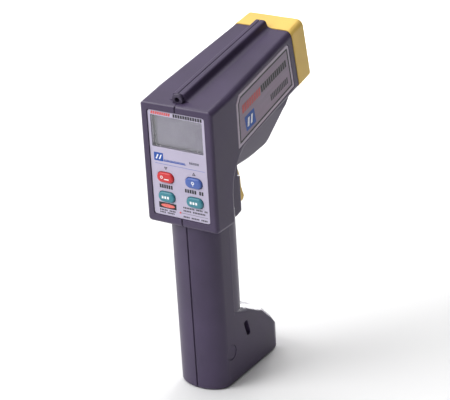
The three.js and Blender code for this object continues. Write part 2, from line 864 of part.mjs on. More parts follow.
function detector() {
  const rear = tubeRear - 2 * tubeEndThick;
  return roundAlong(lensUp, detectorRadius, rear, tubeRear + tubeEndThick + 0.6)
    .add(roundAlong(lensUp, detectorRim, rear, tubeRear - tubeEndThick));
}

function sightTube() {
  const rear = ridgeRear - sightCollarThick;
  const outline = circle(0, sightUp, sightCollar, 24);
  return roundAlong(sightUp, sightRadius, rear, barrelLength - sightSink, 20)
    .add(alongBarrel(outline, rear, ridgeRear - fitGap, 0.5))
    .subtract(roundAlong(sightUp, sightBore, rear - 1, barrelLength + 1, 16));
}

const laserFront = plateRear - 4 * fitGap;
add('nose_bumper', noseBumper(), yellow, { rough: 0.5 });
add('front_plate', frontPlate(), black);
add('lens', lens(), 0x8a8f96, { rough: 0.15, opacity: 0.9 });
add('lens_retainer', lensRetainer(), black);
add('optics_tube', opticsTube(), 0x3a3a40, { metal: 0.6 });
add('detector', detector(), steel, { metal: 1, rough: 0.3 });
add('laser_module', roundAlong(laserUp, laserRadius, laserFront - laserLength, laserFront), brass, {
  metal: 1, rough: 0.35,
});
add('laser_window', roundAlong(laserUp, laserHole - fitGap, plateRear + 0.4, plateRear + 1.6, 16), 0x7a1c1c, {
  rough: 0.1, opacity: 0.6,
});
add('sight_tube', sightTube(), black);

// ---- display face --------------------------------------------------------
function keypadPanel() {
  const sheet = alongY(rectangle(panelHalf, panelBottom, panelTop, panelCorner), panelFront, panelBack);
  const window = alongY(rectangle(windowHalf, windowBottom, windowTop, windowCorner), -1, 2 * panelBack);
  const holes = buttons.map(([, x, z]) => buttonHole(x, z, -1, 2 * panelBack));
  return sheet.subtract(joined([window, ...holes]));
}

// A sheet behind the window, larger than it by a margin and deeper below it.
function windowSheet(margin, below, corner, front, thick) {
  const outline = rectangle(windowHalf + margin, windowBottom - below, windowTop + margin, corner);
  return alongY(outline, front, front + thick);
}

function button(x, z) {
  const cap = alongY(pillOutline(x, z, buttonWide, buttonTall), -buttonProud, flangeBack - 0.2, buttonEdge);
  const flangeWide = buttonWide + 2 * buttonFlange;
  const flangeTall = buttonTall + 2 * buttonFlange;
  return cap.add(alongY(pillOutline(x, z, flangeWide, flangeTall), flangeFront, flangeBack));
}

function tactSwitch(x, z) {
  const body = box(
    x - switchHalf, x + switchHalf, switchFront, boardFront - fitGap / 2, z - switchHalf, z + switchHalf,
  );
  const plunger = box(
    x - plungerHalf, x + plungerHalf, plungerFront, switchFront + 0.5, z - plungerHalf, z + plungerHalf,
  );
  return body.add(plunger);
}

add('keypad_panel', keypadPanel(), 0xbcbcd4, { rough: 0.45 });
const paneCorner = windowCorner - 0.2;
add('lcd_window', windowSheet(-windowFit, -windowFit, paneCorner, windowFront, windowThick), 0xc9ccd2, {
  rough: 0.05, opacity: 0.35,
});
add('lcd_glass', windowSheet(glassMargin, 1.4, 0, glassFront, glassThick), 0x9d9ea6, { rough: 0.25 });
add('lcd_frame', windowSheet(frameMargin, 3, 0.5, frameFront, frameThick), 0xd9dade);
const boardBack = boardFront + boardThick;
add('main_board', box(-boardHalf, boardHalf, boardFront, boardBack, boardBottom, boardTop), boardGreen);
buttons.forEach(([name, x, z, color], i) => {
  add(name, button(x, z), color, { rough: 0.4 });
  add(`switch_${i + 1}`, tactSwitch(x, z), black);
});
const buzzerFront = boardBack + fitGap / 2;
add('buzzer', alongY(circle(buzzerX, buzzerZ, buzzerRadius), buzzerFront, buzzerFront + buzzerThick), black);

// ---- trigger -------------------------------------------------------------
function trigger() {
  const outline = rounded(triggerProfile.map(([ahead, above, radius]) => [
    triggerPivotY + ahead, triggerPivotZ + above, radius,
  ]), 3);
  const bore = circle(triggerPivotY, triggerPivotZ, triggerPinRadius + 0.1, 16);
  return acrossX(outline, -triggerHalf, triggerHalf, 0.7).subtract(acrossX(bore, -housingHalf, housingHalf));
}

function triggerSwitch() {
  const low = springTop - 3.8;
  return box(-5, 5, springY - 14, springY - 5, low, low + 5.8)
    .add(box(-1, 1, springY - 11, springY - 9, low - 0.8, low + 0.8));
}

function spring(turns) {
  const height = springTop - springBottom - 2 * springWire;
  const points = [];
  const steps = turns * 10;
  for (let i = 0; i <= steps; i += 1) {
    const turn = (i * 2 * Math.PI) / 10;
    points.push(new THREE.Vector3(
      springRadius * Math.cos(turn),
      springY + springRadius * Math.sin(turn),
      springBottom + springWire + (height * i) / steps,
    ));
  }
  const path = new THREE.CatmullRomCurve3(points);
  return solid(new THREE.ExtrudeGeometry(new THREE.Shape(circle(0, 0, springWire, 5)), {
    steps, bevelEnabled: false, extrudePath: path,
  }));
}

const pinEnd = housingHalf - 1.3;
const pinOutline = circle(triggerPivotY, triggerPivotZ, triggerPinRadius, 16);
add('trigger', trigger(), yellow, { rough: 0.5 });
add('trigger_pin', acrossX(pinOutline, -pinEnd, pinEnd), steel, { metal: 1, rough: 0.3 });
add('trigger_spring', spring(5), steel, { metal: 1, rough: 0.3 });
add('trigger_switch', triggerSwitch(), black);

// ---- battery and its door ------------------------------------------------
// A lead from the battery snap up to the back of the board.
function wire(x) {
  const snapTop = batteryTop + fitGap + snapThick;
  const boardEnd = boardBottom + wireLanding;
  const rise = boardEnd - snapTop;
  const path = new THREE.CatmullRomCurve3([
    new THREE.Vector3(x, batteryRear + 14, snapTop + wireRadius),
    new THREE.Vector3(x, batteryRear + 12, snapTop + rise / 3),
    new THREE.Vector3(x, batteryRear + 5, boardEnd - rise / 6),
    new THREE.Vector3(x, boardBack + wireRadius + 0.1, boardEnd),
  ]);
  return solid(new THREE.ExtrudeGeometry(new THREE.Shape(circle(0, 0, wireRadius, 8)), {
    steps: 10, bevelEnabled: false, extrudePath: path,
  }));
}

// The door follows the grip's own front face.
function batteryDoor() {
  const outer = alongZ(gripOutline(0), doorBottom, doorTop);
  const inner = alongZ(gripOutline(wall), doorBottom - 1, doorTop + 1);
  const past = gripFront + 8;
  const window = box(-doorHalf, doorHalf, gripFront - doorReach, past, doorBottom, doorTop);
  const tabRear = doorPinY - doorKnuckle + 0.1;
  const tab = box(-doorTabHalf, doorTabHalf, tabRear, doorPinY + 1.3, doorPinZ, doorBottom + 1);
  const knuckle = acrossX(circle(doorPinY, doorPinZ, doorKnuckle, 16), -doorTabHalf, doorTabHalf);
  const bore = acrossX(circle(doorPinY, doorPinZ, doorPinRadius + 0.1, 12), -doorHalf, doorHalf);
  const [thumbLow, thumbHigh] = [doorTop - 3 - thumbTall, doorTop - 3];
  const thumb = box(-thumbHalf, thumbHalf, gripFront - 0.6, past, thumbLow, thumbHigh);
  return outer.subtract(inner).intersect(window).add(tab).add(knuckle).subtract(bore).subtract(thumb);
}

function batterySlab(inset, low, high) {
  const outline = rectangle(
    batteryHalf - inset, batteryRear + inset, batteryRear + batteryDeep - inset, batteryCorner,
  );
  return alongZ(outline, low, high);
}

const snapLow = batteryTop + fitGap;
add('battery', batterySlab(0, batteryBottom, batteryTop), 0x2c2c31);
add('battery_snap', batterySlab(0.5, snapLow, snapLow + snapThick), black);
add('wire_red', wire(-wireHalfSpacing), 0xb02a2a);
add('wire_black', wire(wireHalfSpacing), 0x1c1c1f);
add('battery_door', batteryDoor(), bodyGrey);
add('door_pin', acrossX(circle(doorPinY, doorPinZ, doorPinRadius, 12), -doorPinHalf, doorPinHalf), steel, {
  metal: 1, rough: 0.3,
});

// ---- labels and fittings -------------------------------------------------
function sideLabel(side) {
  const outer = rearWidth / 2 - labelSink;
  const [low, high] = side > 0 ? [outer - labelThick, outer] : [-outer, labelThick - outer];
  return tapered(barrelSide(labelOutline(0), low, high));
}

function tripodInsert() {
  return alongZ(circle(0, insertY, insertRadius), insertRaise, insertTall)
    .subtract(alongZ(circle(0, insertY, insertBore), 0, insertTall + 1));
}

// A pan-head screw whose head sits in the left half and whose tip is in the right one.
function caseScrew(y, z, half) {
  const seat = screwHeadSink - half;
  const headTopX = seat - fitGap / 2 - screwHeadThick;
  const headDisc = acrossX(circle(y, z, screwHeadRadius, 16), headTopX, seat - fitGap / 2);
  const shank = acrossX(circle(y, z, screwShankRadius, 12), seat - 1, half - screwTipShort);
  const drive = [[driveHalf, driveReach], [driveReach, driveHalf]].map(([halfY, halfZ]) => (
    box(headTopX - 1, headTopX + driveDepth, y - halfY, y + halfY, z - halfZ, z + halfZ)
  ));
  return headDisc.add(shank).subtract(joined(drive));
}

add('side_label_right', sideLabel(1), 0x8a808e, { rough: 0.35, metal: 0.3 });
add('side_label_left', sideLabel(-1), 0x8a808e, { rough: 0.35, metal: 0.3 });
const plugInner = gripHalf - plugDepth + fitGap;
add('side_plug', acrossX(circle(plugY, plugZ, plugRadius), plugInner, gripHalf - plugSink), bodyGrey);
add('tripod_insert', tripodInsert(), brass, { metal: 1, rough: 0.35 });
screws.forEach(([y, z, half], i) => {
  add(`screw_${i + 1}`, caseScrew(y, z, half), steel, { metal: 1, rough: 0.35 });
});

export default group;
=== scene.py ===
"""Looks for the infrared thermometer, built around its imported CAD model. Metres, in the CAD frame:
+Z up along the grip, +Y forward towards the lens, +X to the user's right."""
import math

import bmesh
import bpy
from mathutils import Matrix, Vector
from mathutils.bvhtree import BVHTree


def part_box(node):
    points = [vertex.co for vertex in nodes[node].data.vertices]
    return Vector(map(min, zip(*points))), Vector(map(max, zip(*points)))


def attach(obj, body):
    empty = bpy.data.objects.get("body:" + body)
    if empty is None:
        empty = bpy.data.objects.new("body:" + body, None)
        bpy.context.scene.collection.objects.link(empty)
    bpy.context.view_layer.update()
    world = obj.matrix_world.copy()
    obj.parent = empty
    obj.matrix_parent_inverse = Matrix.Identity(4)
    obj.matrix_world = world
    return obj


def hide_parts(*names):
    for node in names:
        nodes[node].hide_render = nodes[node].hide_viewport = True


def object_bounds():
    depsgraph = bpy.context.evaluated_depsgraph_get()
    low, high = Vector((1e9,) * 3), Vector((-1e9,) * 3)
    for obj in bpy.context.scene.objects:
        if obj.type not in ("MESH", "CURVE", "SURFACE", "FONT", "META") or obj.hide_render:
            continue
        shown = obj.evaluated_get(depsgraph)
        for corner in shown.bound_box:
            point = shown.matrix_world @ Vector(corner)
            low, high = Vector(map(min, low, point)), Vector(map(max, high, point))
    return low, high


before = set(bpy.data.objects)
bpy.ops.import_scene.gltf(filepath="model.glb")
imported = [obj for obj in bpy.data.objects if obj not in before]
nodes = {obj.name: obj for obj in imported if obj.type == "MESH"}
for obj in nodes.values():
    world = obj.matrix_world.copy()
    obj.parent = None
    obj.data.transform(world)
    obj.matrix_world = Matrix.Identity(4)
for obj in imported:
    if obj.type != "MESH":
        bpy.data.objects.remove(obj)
cad_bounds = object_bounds()

MM = 0.001

# ---- sizes, in metres ----------------------------------------------------
BARREL_TILT = math.radians(10.93)
PRINT_THICK = 0.04 * MM
PRINT_SINK = 0.02 * MM
SMOOTH_ANGLE = math.radians(38)
WELD = 0.001 * MM
KEY_FLANGE = 1.0 * MM
KEY_EDGE = 1.15 * MM
LABEL_RIM_WIDE = 1.7
LABEL_LINE_WIDE = 1.15
LIP_BEHIND_FACE = 6.5 * MM
LIP_HALF = 1.4 * MM
LIP_THICK = 1.2 * MM
LIP_LIFT = 3.0 * MM
LIP_DROP = 3.6 * MM
SOFT_SIDE = (-0.90, -0.05, 0.45)
SKY_DIM = 0.02
SKY_BRIGHT = 0.85
SKY_DIM_BELOW = -0.6
SKY_BRIGHT_ABOVE = 0.9

# Each light: its place from the object's middle, its diameter in metres and its power in watts.
LIGHTS = {
    "key_left_rear": ((-0.60, -0.75, 0.85), 0.7, 10.0),
    "front_card": ((-0.20, 0.90, -0.02), 0.45, 12.0),
    "top": ((-0.30, 0.15, 1.3), 1.2, 8.0),
}

# The camera: where it is, and which ways its right side and its back point. Lens and sensor in mm.
CAMERA_PLACE = (0.57071, -0.83965, 0.54562)
CAMERA_RIGHT = (0.83505, 0.54746, -0.05489)
CAMERA_BACK = (0.52118, -0.75507, 0.39779)
CAMERA_LENS = 144
CAMERA_SENSOR = 36
FLOOR_HALF = 4

# ---- colours, as sRGB fractions ------------------------------------------
BODY = (0.268, 0.226, 0.326)
YELLOW = (0.930, 0.765, 0.385)
PANEL = (0.715, 0.685, 0.780)
LCD_GREY = (0.668, 0.632, 0.722)
INK_BLACK = (0.10, 0.10, 0.12)
INK_GREY = (0.36, 0.36, 0.42)
INK_DARK = (0.22, 0.20, 0.24)
INK_RED = (0.84, 0.30, 0.29)
INK_LABEL_RED = (0.74, 0.33, 0.33)
INK_BLUE = (0.10, 0.30, 0.64)
INK_RULE = (0.42, 0.50, 0.74)
INK_SALMON = (0.92, 0.45, 0.42)
INK_WHITE = (0.95, 0.95, 0.97)
KEY_RED = (0.79, 0.18, 0.20)
KEY_BLUE = (0.28, 0.38, 0.66)
KEY_TEAL = (0.22, 0.50, 0.56)
LABEL_FACE = (0.530, 0.480, 0.545)
LABEL_RIM = (0.66, 0.62, 0.68)
BLACK = (0.075, 0.072, 0.085)


def linear(color):
    """An sRGB colour as the linear one that a shader takes."""
    return tuple(c / 12.92 if c <= 0.04045 else ((c + 0.055) / 1.055) ** 2.4 for c in color) + (1.0,)


def shaded(color, factor):
    return tuple(min(1.0, c * factor) for c in color)


# ---- material building ---------------------------------------------------
class Graph:
    """A node material being put together, with a Principled shader at its end."""

    def __init__(self, name):
        self.material = bpy.data.materials.new(name)
        self.material.use_nodes = True
        self.tree = self.material.node_tree
        self.tree.nodes.clear()
        self.output = self.add("ShaderNodeOutputMaterial")
        self.shader = self.add("ShaderNodeBsdfPrincipled")
        self.link(self.shader.outputs["BSDF"], self.output.inputs["Surface"])
        self.place = self.add("ShaderNodeTexCoord").outputs["Object"]

    def add(self, kind, **settings):
        node = self.tree.nodes.new(kind)
        for key, value in settings.items():
            setattr(node, key, value)
        return node

    def link(self, source, target):
        self.tree.links.new(source, target)

    def feed(self, target, value):
        """Links a socket, or sets a plain value."""
        if isinstance(value, bpy.types.NodeSocket):
            self.link(value, target)
        else:
            target.default_value = value

    def math(self, operation, a, b=0.0, clamp=False):
        node = self.add("ShaderNodeMath", operation=operation, use_clamp=clamp)
        self.feed(node.inputs[0], a)
        self.feed(node.inputs[1], b)
        return node.outputs[0]

    def noise(self, scale, detail=2.0, rough=0.5, stretch=None):
        place = self.place
        if stretch:
            mapping = self.add("ShaderNodeMapping")
            mapping.inputs["Scale"].default_value = stretch
            self.link(place, mapping.inputs["Vector"])
            place = mapping.outputs["Vector"]
        node = self.add("ShaderNodeTexNoise")
        node.inputs["Scale"].default_value = scale
        node.inputs["Detail"].default_value = detail
        node.inputs["Roughness"].default_value = rough
        self.link(place, node.inputs["Vector"])
        return node.outputs["Fac"]

    def remap(self, value, low, high, to_low=0.0, to_high=1.0):
        node = self.add("ShaderNodeMapRange")
        self.feed(node.inputs["Value"], value)
        node.inputs["From Min"].default_value = low
        node.inputs["From Max"].default_value = high
        node.inputs["To Min"].default_value = to_low
        node.inputs["To Max"].default_value = to_high
        return node.outputs["Result"]

    def mix(self, factor, a, b):
        node = self.add("ShaderNodeMix", data_type="RGBA")
        self.feed(node.inputs[0], factor)
        self.feed(node.inputs[6], a)
        self.feed(node.inputs[7], b)
        return node.outputs[2]

    def soft_normal(self, radius):
        node = self.add("ShaderNodeBevel", samples=6)
        node.inputs["Radius"].default_value = radius
        return node.outputs["Normal"]

    def edges(self, soft):
        """1 where the surface turns sharply, such as along an outer edge."""
        normal = self.add("ShaderNodeNewGeometry").outputs["Normal"]
        dot = self.add("ShaderNodeVectorMath", operation="DOT_PRODUCT")
        self.link(soft, dot.inputs[0])
        self.link(normal, dot.inputs[1])
        return self.remap(dot.outputs["Value"], 0.995, 0.80)

    def bump(self, height, distance, strength=1.0, normal=None):
        node = self.add("ShaderNodeBump")
        node.inputs["Strength"].default_value = strength
        node.inputs["Distance"].default_value = distance
        self.feed(node.inputs["Height"], height)
        if normal is not None:
            self.link(normal, node.inputs["Normal"])
        return node.outputs["Normal"]

    def finish(self, color, rough, normal=None, **settings):
        self.feed(self.shader.inputs["Base Color"], color)
        self.feed(self.shader.inputs["Roughness"], rough)
        if normal is not None:
            self.link(normal, self.shader.inputs["Normal"])
        for key, value in settings.items():
            self.shader.inputs[key].default_value = value
        return self.material


def moulded(
    name, color, rough=0.45, grain=2400, depth=0.02 * MM, mottle=0.06, wear=0.25, edge=0.4 * MM, **extra
):
    """Moulded plastic: faint cloudiness, a fine spark-eroded grain and edges rubbed a little lighter."""
    g = Graph(name)
    cloud = g.noise(38, detail=3)
    grains = g.noise(grain, detail=2, rough=0.6)
    soft = g.soft_normal(edge)
    rubbed = g.math("MULTIPLY", g.edges(soft), g.remap(g.noise(260, detail=3), 0.38, 0.68))
    darker = linear(shaded(color, 1 - mottle))
    lighter = linear(shaded(color, 1 + mottle))
    base = g.mix(g.remap(cloud, 0.3, 0.7), darker, lighter)
    specks = g.mix(g.remap(grains, 0.3, 0.75, 0.0, 0.10), base, linear(shaded(color, 1.45)))
    worn = g.mix(g.math("MULTIPLY", rubbed, wear), specks, linear(shaded(color, 1.6)))
    uneven = g.remap(cloud, 0.3, 0.7, rough - 0.04, rough + 0.05)
    roughness = g.math("ADD", uneven, g.remap(grains, 0.3, 0.7, -0.03, 0.04))
    return g.finish(worn, roughness, g.bump(grains, depth, normal=soft), **extra)


def ink(name, color, rough=0.5):
    """Screen-printed ink, slightly uneven in cover."""
    g = Graph(name)
    cover = g.noise(900, detail=2)
    base = g.mix(g.remap(cover, 0.3, 0.7), linear(shaded(color, 0.93)), linear(shaded(color, 1.07)))
    return g.finish(base, g.remap(cover, 0.3, 0.7, rough - 0.06, rough + 0.06), g.bump(cover, 0.004 * MM))


def metal(name, color, rough=0.3, stretch=(1, 1, 1), scale=900, ridges=None):
    """Turned or drawn metal with fine lines, and ridges such as a thread's where they are asked for."""
    g = Graph(name)
    lines = g.noise(scale, detail=3, stretch=stretch)
    tarnish = g.noise(60, detail=3)
    base = g.mix(g.remap(tarnish, 0.35, 0.7), linear(color), linear(shaded(color, 0.82)))
    roughness = g.remap(lines, 0.3, 0.7, rough - 0.08, rough + 0.12)
    normal = g.bump(lines, 0.01 * MM, normal=g.soft_normal(0.2 * MM))
    if ridges:
        wave = g.add("ShaderNodeTexWave", bands_direction="Z")
        wave.inputs["Scale"].default_value = ridges
        g.link(g.place, wave.inputs["Vector"])
        normal = g.bump(wave.outputs["Fac"], 0.25 * MM, normal=normal)
    return g.finish(base, roughness, normal, Metallic=1.0)


def brushed_label(name, color):
    """Foil label with a brushed grain along the barrel."""
    g = Graph(name)
    turn = g.add("ShaderNodeMapping")
    turn.inputs["Rotation"].default_value = (-BARREL_TILT, 0, 0)
    g.link(g.place, turn.inputs["Vector"])
    g.place = turn.outputs["Vector"]
    lines = g.noise(420, detail=4, rough=0.65, stretch=(1, 0.05, 1))
    cloud = g.noise(30, detail=2)
    pale = linear(shaded(color, 1.07))
    dark = linear(shaded(color, 0.93))
    base = g.mix(g.remap(lines, 0.3, 0.7), dark, pale)
    warm = linear((color[0] * 1.08, color[1] * 0.97, color[2] * 0.98))
    base = g.mix(g.remap(cloud, 0.35, 0.65, 0, 0.35), base, warm)
    return g.finish(base, g.remap(lines, 0.3, 0.7, 0.36, 0.52), g.bump(lines, 0.006 * MM), Metallic=0.35)


def display(name):
    """A reflective liquid-crystal cell: grey, with a fine polariser grain and painted shadow of its recess, a
    darker border along its left and top edges.
    """
    g = Graph(name)
    low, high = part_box("lcd_window")
    split = g.add("ShaderNodeSeparateXYZ")
    g.link(g.place, split.inputs["Vector"])
    # Painted shadow: these masks darken the cell towards its left and top edges, where the recess around it
    # casts shade.
    left = g.remap(split.outputs["X"], low.x, low.x + 2.2 * MM)
    top = g.remap(split.outputs["Z"], high.z, high.z - 1.8 * MM)
    inside = g.math("MULTIPLY", left, top)
    grain = g.noise(1600, detail=2, stretch=(1, 1, 0.15))
    haze = g.noise(55, detail=2)
    face = g.mix(g.remap(grain, 0.3, 0.7), linear(shaded(LCD_GREY, 0.985)), linear(shaded(LCD_GREY, 1.015)))
    face = g.mix(g.remap(haze, 0.3, 0.7, 0, 0.5), face, linear(shaded(LCD_GREY, 0.96)))
    face = g.mix(inside, linear(shaded(LCD_GREY, 0.52)), face)
    return g.finish(face, g.remap(haze, 0.3, 0.7, 0.22, 0.32), g.bump(grain, 0.002 * MM))


def clear_sheet(name, tint, gloss_rough=0.06):
    """A thin clear window: light goes straight through, with a reflection on top."""
    g = Graph(name)
    g.tree.nodes.remove(g.shader)
    through = g.add("ShaderNodeBsdfTransparent")
    g.feed(through.inputs["Color"], linear(tint))
    gloss = g.add("ShaderNodeBsdfGlossy")
    smear = g.noise(120, detail=3)
    g.feed(gloss.inputs["Roughness"], g.remap(smear, 0.3, 0.7, gloss_rough, gloss_rough + 0.07))
    g.feed(gloss.inputs["Color"], (1, 1, 1, 1))
    angle = g.add("ShaderNodeFresnel")
    angle.inputs["IOR"].default_value = 1.45
    mix = g.add("ShaderNodeMixShader")
    g.link(angle.outputs["Fac"], mix.inputs["Fac"])
    g.link(through.outputs["BSDF"], mix.inputs[1])
    g.link(gloss.outputs["BSDF"], mix.inputs[2])
    g.link(mix.outputs["Shader"], g.output.inputs["Surface"])
    return g.material


def circuit_board(name):
    """Green solder mask over copper tracks."""
    g = Graph(name)
    tracks = g.add("ShaderNodeTexBrick", offset=0.35)
    tracks.inputs["Scale"].default_value = 180
    tracks.inputs["Mortar Size"].default_value = 0.035
    turned = g.add("ShaderNodeMapping")
    turned.inputs["Rotation"].default_value = (math.pi / 2, 0, 0)
    g.link(g.place, turned.inputs["Vector"])
    g.link(turned.outputs["Vector"], tracks.inputs["Vector"])
    mask = g.noise(200, detail=2)
    base = g.mix(g.remap(mask, 0.3, 0.7), linear((0.07, 0.34, 0.20)), linear((0.09, 0.40, 0.24)))
    base = g.mix(tracks.outputs["Fac"], base, linear((0.16, 0.52, 0.30)))
    return g.finish(base, 0.3, g.bump(tracks.outputs["Fac"], 0.03 * MM))


def battery_skin(name):
    """Lacquered steel jacket with a coloured band round its top."""
    g = Graph(name)
    low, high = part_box("battery")
    split = g.add("ShaderNodeSeparateXYZ")
    g.link(g.place, split.inputs["Vector"])
    edge = high.z - 0.3 * (high.z - low.z)
    band = g.remap(split.outputs["Z"], edge - 0.05 * MM, edge + 0.05 * MM)
    scuff = g.noise(500, detail=3, stretch=(1, 1, 0.2))
    base = g.mix(band, linear((0.13, 0.13, 0.15)), linear((0.72, 0.50, 0.22)))
    base = g.mix(g.remap(scuff, 0.62, 0.8, 0, 0.5), base, linear((0.6, 0.6, 0.6)))
    return g.finish(base, g.remap(scuff, 0.3, 0.7, 0.25, 0.4), g.bump(scuff, 0.01 * MM), Metallic=0.3)


def lens_painted_sheen(name):
    """Infrared lens: dark and glossy, with a painted sheen of its coating: faintly green where it faces the
    camera, lighter and violet where it is seen edge-on.
    """
    g = Graph(name)
    rim = g.add("ShaderNodeLayerWeight")
    rim.inputs["Blend"].default_value = 0.35
    dust = g.noise(700, detail=3)
    # Painted sheen: the colour moves from dark green-grey to lighter violet as the lens is seen more edge-on.
    base = g.mix(rim.outputs["Facing"], linear((0.16, 0.19, 0.20)), linear((0.34, 0.30, 0.44)))
    base = g.mix(g.remap(dust, 0.6, 0.85, 0, 0.3), base, linear((0.4, 0.42, 0.42)))
    return g.finish(base, g.remap(dust, 0.3, 0.8, 0.06, 0.14), Metallic=0.55)


body_plastic = moulded("body_plastic", BODY, rough=0.37, **{"Specular IOR Level": 0.32})
trim_plastic = moulded("trim_plastic", shaded(BODY, 0.88), rough=0.46)
yellow_plastic = moulded("yellow_plastic", YELLOW, rough=0.48, mottle=0.03, wear=0.15)
black_plastic = moulded("black_plastic", BLACK, rough=0.5, wear=0.4)
white_plastic = moulded("white_plastic", (0.82, 0.82, 0.84), rough=0.5, mottle=0.02, wear=0.1)
panel_film = moulded(
    "panel_film", PANEL, rough=0.36, grain=3200, depth=0.008 * MM, mottle=0.015, wear=0.5, edge=0.15 * MM,
)
zinc = metal("zinc", (0.72, 0.73, 0.75), rough=0.32)
brass = metal("brass", (0.78, 0.62, 0.34), rough=0.28)
threaded_brass = metal("threaded_brass", (0.78, 0.62, 0.34), rough=0.28, ridges=250)
dark_anodised = metal("dark_anodised", (0.20, 0.20, 0.22), rough=0.42)
wire_red_skin = moulded("wire_red_skin", (0.66, 0.12, 0.12), rough=0.5, grain=5000)
wire_black_skin = moulded("wire_black_skin", (0.07, 0.07, 0.08), rough=0.5, grain=5000)

MATERIALS = {
    "left_housing": body_plastic,
    "right_housing": body_plastic,
    "battery_door": body_plastic,
    "side_plug": body_plastic,
    "nose_bumper": yellow_plastic,
    "trigger": yellow_plastic,
    "front_plate": black_plastic,
    "sight_tube": trim_plastic,
    "buzzer": black_plastic,
    "trigger_switch": black_plastic,
    "battery_snap": black_plastic,
    "optics_tube": dark_anodised,
    "detector": zinc,
    "laser_module": brass,
    "laser_window": clear_sheet("laser_window_red", (0.62, 0.10, 0.10)),
    "keypad_panel": panel_film,
    "lcd_window": clear_sheet("lcd_window_clear", (0.97, 0.97, 0.98)),
    "lcd_glass": display("lcd_cell"),
    "lcd_frame": white_plastic,
    "main_board": circuit_board("circuit_board"),
    "trigger_pin": zinc,
    "trigger_spring": zinc,
    "door_pin": zinc,
    "battery": battery_skin("battery_skin"),
    "wire_red": wire_red_skin,
    "wire_black": wire_black_skin,
    "tripod_insert": threaded_brass,
    "side_label_right": brushed_label("label_foil", LABEL_FACE),
    "side_label_left": brushed_label("label_foil_left", LABEL_FACE),
}
MATERIALS.update({f"switch_{i}": black_plastic for i in range(1, 5)})
MATERIALS.update({f"screw_{i}": zinc for i in range(1, 7)})


# ---- smooth shading of the CAD nodes -------------------------------------
def soft_shading_group():
    """Welds the triangles, and shades the mesh smooth but for its sharp edges."""
    group = bpy.data.node_groups.new("soft_shading", "GeometryNodeTree")
    for way in ("INPUT", "OUTPUT"):
        group.interface.new_socket("Geometry", in_out=way, socket_type="NodeSocketGeometry")
    start = group.nodes.new("NodeGroupInput")
    end = group.nodes.new("NodeGroupOutput")
    weld = group.nodes.new("GeometryNodeMergeByDistance")
    weld.inputs["Distance"].default_value = WELD
    forget = group.nodes.new("GeometryNodeRemoveAttribute")
    forget.inputs["Name"].default_value = "custom_normal"
    smooth = group.nodes.new("GeometryNodeSetShadeSmooth")
    angle = group.nodes.new("GeometryNodeInputMeshEdgeAngle")
    steep = group.nodes.new("FunctionNodeCompare")
    steep.operation = "GREATER_THAN"
    steep.inputs["B"].default_value = SMOOTH_ANGLE
    sharp = group.nodes.new("GeometryNodeSetShadeSmooth")
    sharp.domain = "EDGE"
    sharp.inputs["Shade Smooth"].default_value = False
    chain = [start, weld, forget, smooth, sharp, end]
    for a, b in zip(chain, chain[1:]):
        group.links.new(a.outputs[0], b.inputs[0])
    group.links.new(angle.outputs["Unsigned Angle"], steep.inputs["A"])
    group.links.new(steep.outputs["Result"], sharp.inputs["Selection"])
    return group


soft_shading = soft_shading_group()


def soften(obj):
    modifier = obj.modifiers.new("soft_shading", "NODES")
    modifier.node_group = soft_shading
    weighted = obj.modifiers.new("weighted", "WEIGHTED_NORMAL")
    weighted.keep_sharp = True


for name, material in MATERIALS.items():
    node = nodes[name]
    for material_slot in node.material_slots:
        material_slot.link = "OBJECT"
        material_slot.material = material
    soften(node)


# ---- flat outlines -------------------------------------------------------
def rounded_rect(u0, u1, v0, v1, radius=0.0, steps=4):
    if radius <= 0:
        return [(u0, v0), (u1, v0), (u1, v1), (u0, v1)]
    radius = min(radius, (u1 - u0) / 2 * 0.999, (v1 - v0) / 2 * 0.999)
    points = []
    for cu, cv, start in ((u1, v0, -90), (u1, v1, 0), (u0, v1, 90), (u0, v0, 180)):
        cu += -radius if cu == u1 else radius
        cv += -radius if cv == v1 else radius
        for i in range(steps + 1):
            turn = math.radians(start + 90 * i / steps)
            points.append((cu + radius * math.cos(turn), cv + radius * math.sin(turn)))
    return points


def ellipse(u, v, half_u, half_v, sides=28):
    turns = [2 * math.pi * i / sides for i in range(sides)]
    return [(u + half_u * math.cos(t), v + half_v * math.sin(t)) for t in turns]


def inset_outline(points, distance):
    """The outline moved inwards by a distance; points run counter-clockwise."""
    result = []
    for i, (u, v) in enumerate(points):
        before = Vector(points[i - 1])
        here = Vector((u, v))
        after = Vector(points[(i + 1) % len(points)])
        a = (here - before).normalized()
        b = (after - here).normalized()
        normal_a = Vector((-a.y, a.x))
        normal_b = Vector((-b.y, b.x))
        middle = (normal_a + normal_b).normalized()
        result.append(tuple(here + middle * (distance / max(0.3, middle.dot(normal_a)))))
    return result


def marks(u0, u1, v0, v1, pitch, fill=0.66, gaps=(), slant=0.0):
    """A row of plain blocks that stands for a line of small print. gaps are the places left empty."""
    count = max(1, round((u1 - u0) / pitch))
    step = (u1 - u0) / count
    rows = []
    for i in range(count):
        if i in gaps:
            continue
        a = u0 + i * step
        b = a + step * fill
        lean = slant * (v1 - v0)
        rows.append([(a, v0), (b, v0), (b + lean, v1), (a + lean, v1)])
    return rows


# ---- mesh building -------------------------------------------------------
def mesh_object(name, bm, material, body, smooth=False):
    bmesh.ops.recalc_face_normals(bm, faces=bm.faces)
    mesh = bpy.data.meshes.new(name)
    bm.to_mesh(mesh)
    bm.free()
    obj = bpy.data.objects.new(name, mesh)
    bpy.context.scene.collection.objects.link(obj)
    obj.data.materials.append(material)
    for face in mesh.polygons:
        face.use_smooth = smooth
    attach(obj, body)
    return obj


